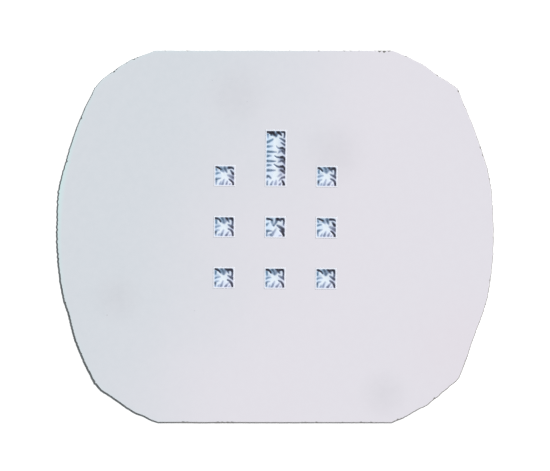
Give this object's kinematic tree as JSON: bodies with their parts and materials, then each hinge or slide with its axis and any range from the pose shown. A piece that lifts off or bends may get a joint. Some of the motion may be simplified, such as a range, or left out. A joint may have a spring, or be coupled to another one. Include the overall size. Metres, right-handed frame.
{
  "type": "electron microscope window chip",
  "caption": "Thin-film window chip for an electron-microscope holder: an etched silicon frame whose front film spans small square windows and one tall window",
  "frame": {"origin": "centre of the chip's outline, on the back face of the mask film, which is the face that rests in a holder when the windows face up", "axes": "+Z points out of the front face that carries the window film, +X runs along the chip's length between its bowed sides, +Y points from the array's centre to the tall window"},
  "size_m": [0.003, 0.0026, 0.0001],
  "materials": {
    "etched_silicon": "satin",
    "film_on_silicon": "gloss",
    "mask_film": "gloss",
    "free_film": "gloss"
  },
  "bodies": {
    "root": {"silicon_frame": "etched_silicon", "front_film": "film_on_silicon", "back_film": "mask_film", "window_top_left": "free_film", "window_long": "free_film", "window_top_right": "free_film", "window_middle_left": "free_film", "window_centre": "free_film", "window_middle_right": "free_film", "window_bottom_left": "free_film", "window_bottom_centre": "free_film", "window_bottom_right": "free_film"}
  },
  "joints": []
}
